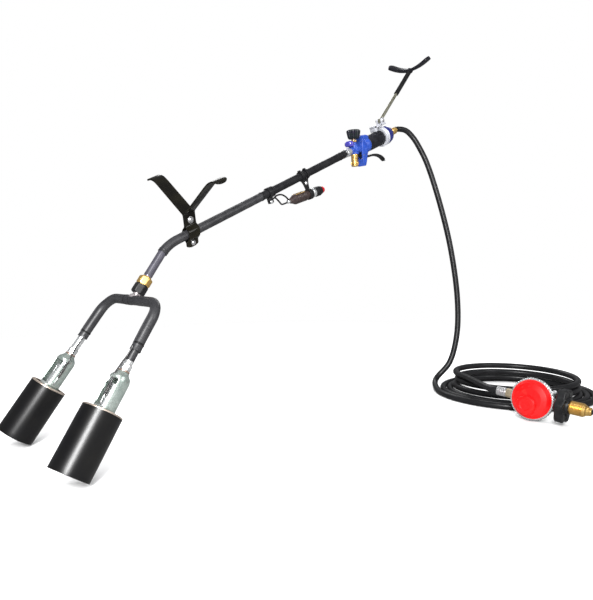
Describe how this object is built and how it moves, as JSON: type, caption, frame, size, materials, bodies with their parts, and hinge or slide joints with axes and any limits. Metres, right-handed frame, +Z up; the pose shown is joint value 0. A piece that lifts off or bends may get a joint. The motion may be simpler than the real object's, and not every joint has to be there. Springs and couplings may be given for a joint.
{
  "type": "twin-head propane roofing torch",
  "caption": "Roofing torch with paired gas burners on a bent lance, V stand, push-button igniter, valve handle with arm rest, and a coiled hose ending in a gas regulator.",
  "frame": {"origin": "bottom centre of the whole part's box, on the floor", "axes": "+X along the torch from the burners to the handle, +Y to the torch's left side, +Z up"},
  "size_m": [1.206, 0.6834, 0.8597],
  "materials": {
    "cup_black": "gloss black enamel",
    "gloss_black_steel": "gloss black paint",
    "satin_black_steel": "satin black finish",
    "sleeve": "dull dark grey sleeve",
    "bare_pipe": "bare steel tube",
    "zinc": "zinc plated",
    "bright_zinc": "bright zinc plated",
    "brass": "machined brass",
    "bolt_steel": "plated steel",
    "blue_casting": "blue enamel on a casting",
    "cap_blue": "dark blue moulding",
    "black_plastic": "black moulding",
    "igniter_brown": "dark brown moulding",
    "red_plastic": "red button",
    "red_enamel": "red enamel",
    "black_rubber": "black rubber",
    "hose_rubber": "semi-gloss black hose"
  },
  "bodies": {
    "torch": {"lance_pipe": "gloss_black_steel", "igniter_bracket": "satin_black_steel", "lance_sleeve": "sleeve", "regulator_body": "zinc", "outlet_fitting": "bright_zinc", "grip_band": "bright_zinc", "rest_bracket": "bright_zinc", "rear_ferrule": "bright_zinc", "gland_nut": "brass", "bonnet": "brass", "gas_tube": "brass", "inlet_fitting": "brass", "inlet_nipple": "brass", "igniter_bolt": "bolt_steel", "return_spring": "bolt_steel", "lever_pin": "bolt_steel", "rest_pivot_bolt": "bolt_steel", "control_spring": "bolt_steel", "valve_body": "blue_casting", "handle_casting": "blue_casting", "bore_plug": "blue_casting", "end_cap": "cap_blue", "igniter_knob": "black_plastic", "spark_element": "black_plastic", "lead_clip": "black_plastic", "igniter_body": "igniter_brown", "regulator_cover": "red_enamel", "grip": "black_rubber", "igniter_leads": "black_rubber", "diaphragm": "black_rubber", "hose": "hose_rubber"},
    "burner_heads": {"left_burner_cup": "cup_black", "left_air_cage": "zinc", "left_mixing_tube": "bright_zinc", "left_jet_nipple": "bright_zinc", "left_electrode": "satin_black_steel", "right_burner_cup": "cup_black", "right_air_cage": "zinc", "right_mixing_tube": "bright_zinc", "right_jet_nipple": "bright_zinc", "right_electrode": "satin_black_steel", "manifold_pipe": "bare_pipe", "left_manifold_sleeve": "sleeve", "right_manifold_sleeve": "sleeve", "union_body": "satin_black_steel"},
    "union_nut": {"union_nut": "brass"},
    "v_stand": {"left_stand_leg": "gloss_black_steel", "right_stand_leg": "gloss_black_steel", "stand_upper_bolt": "bolt_steel", "stand_lower_bolt": "bolt_steel"},
    "igniter_button": {"igniter_button": "red_plastic"},
    "flow_knob": {"flow_knob": "black_plastic", "flow_stem": "brass"},
    "lever": {"lever": "satin_black_steel"},
    "plunger": {"valve_plunger": "bolt_steel"},
    "rest_rod": {"rest_rod": "zinc"},
    "rest_cradle": {"rest_cradle": "black_rubber"},
    "swivel_nut": {"swivel_nut": "brass"},
    "handwheel": {"handwheel": "black_plastic", "inlet_nut": "brass"}
  },
  "joints": [
    {"name": "manifold_swivel", "type": "hinge", "parent": "torch", "child": "burner_heads", "pos_m": [-0.34492, 0.18757, 0.35047], "axis": [0.5736, 0, 0.8192], "range_deg": [-45, 45]},
    {"name": "union_nut_spin", "type": "hinge", "parent": "torch", "child": "union_nut", "pos_m": [-0.39081, 0.18757, 0.28493], "axis": [0.5736, 0, 0.8192], "continuous": true},
    {"name": "stand_swivel", "type": "hinge", "parent": "torch", "child": "v_stand", "pos_m": [-0.29335, 0.18757, 0.37473], "axis": [0.9048, 0, 0.4258], "range_deg": [-90, 90]},
    {"name": "igniter_push", "type": "slide", "parent": "torch", "child": "igniter_button", "axis": [-0.9472, 0, -0.3206], "range_m": [0, 0.005]},
    {"name": "flow_knob_turn", "type": "hinge", "parent": "torch", "child": "flow_knob", "pos_m": [0.1655, 0.18757, 0.62177], "axis": [-0.0872, 0, 0.9962], "range_deg": [0, 540]},
    {"name": "lever_squeeze", "type": "hinge", "parent": "torch", "child": "lever", "pos_m": [0.19224, 0.18757, 0.57994], "axis": [0, -1, 0], "range_deg": [0, 11.5]},
    {"name": "plunger_lift", "type": "slide", "parent": "torch", "child": "plunger", "axis": [-0.0872, 0, 0.9962], "range_m": [0, 0.0024]},
    {"name": "rest_fold", "type": "hinge", "parent": "torch", "child": "rest_rod", "pos_m": [0.26668, 0.18757, 0.67602], "axis": [0, -1, 0], "range_deg": [-12, 60]},
    {"name": "rest_extend", "type": "slide", "parent": "rest_rod", "child": "rest_cradle", "axis": [0.632, 0, 0.7749], "range_m": [-0.03, 0.03]},
    {"name": "handwheel_spin", "type": "hinge", "parent": "torch", "child": "handwheel", "pos_m": [0.25143, -0.31133, 0.03678], "axis": [0.0696, -0.9951, -0.0696], "continuous": true},
    {"name": "swivel_nut_spin", "type": "hinge", "parent": "torch", "child": "swivel_nut", "pos_m": [0.24238, -0.18197, 0.04582], "axis": [0.0696, -0.9951, -0.0696], "continuous": true}
  ],
  "couplings": [
    {"joint": "plunger_lift", "follows": "lever_squeeze", "m_per_rad": 0.0115}
  ]
}
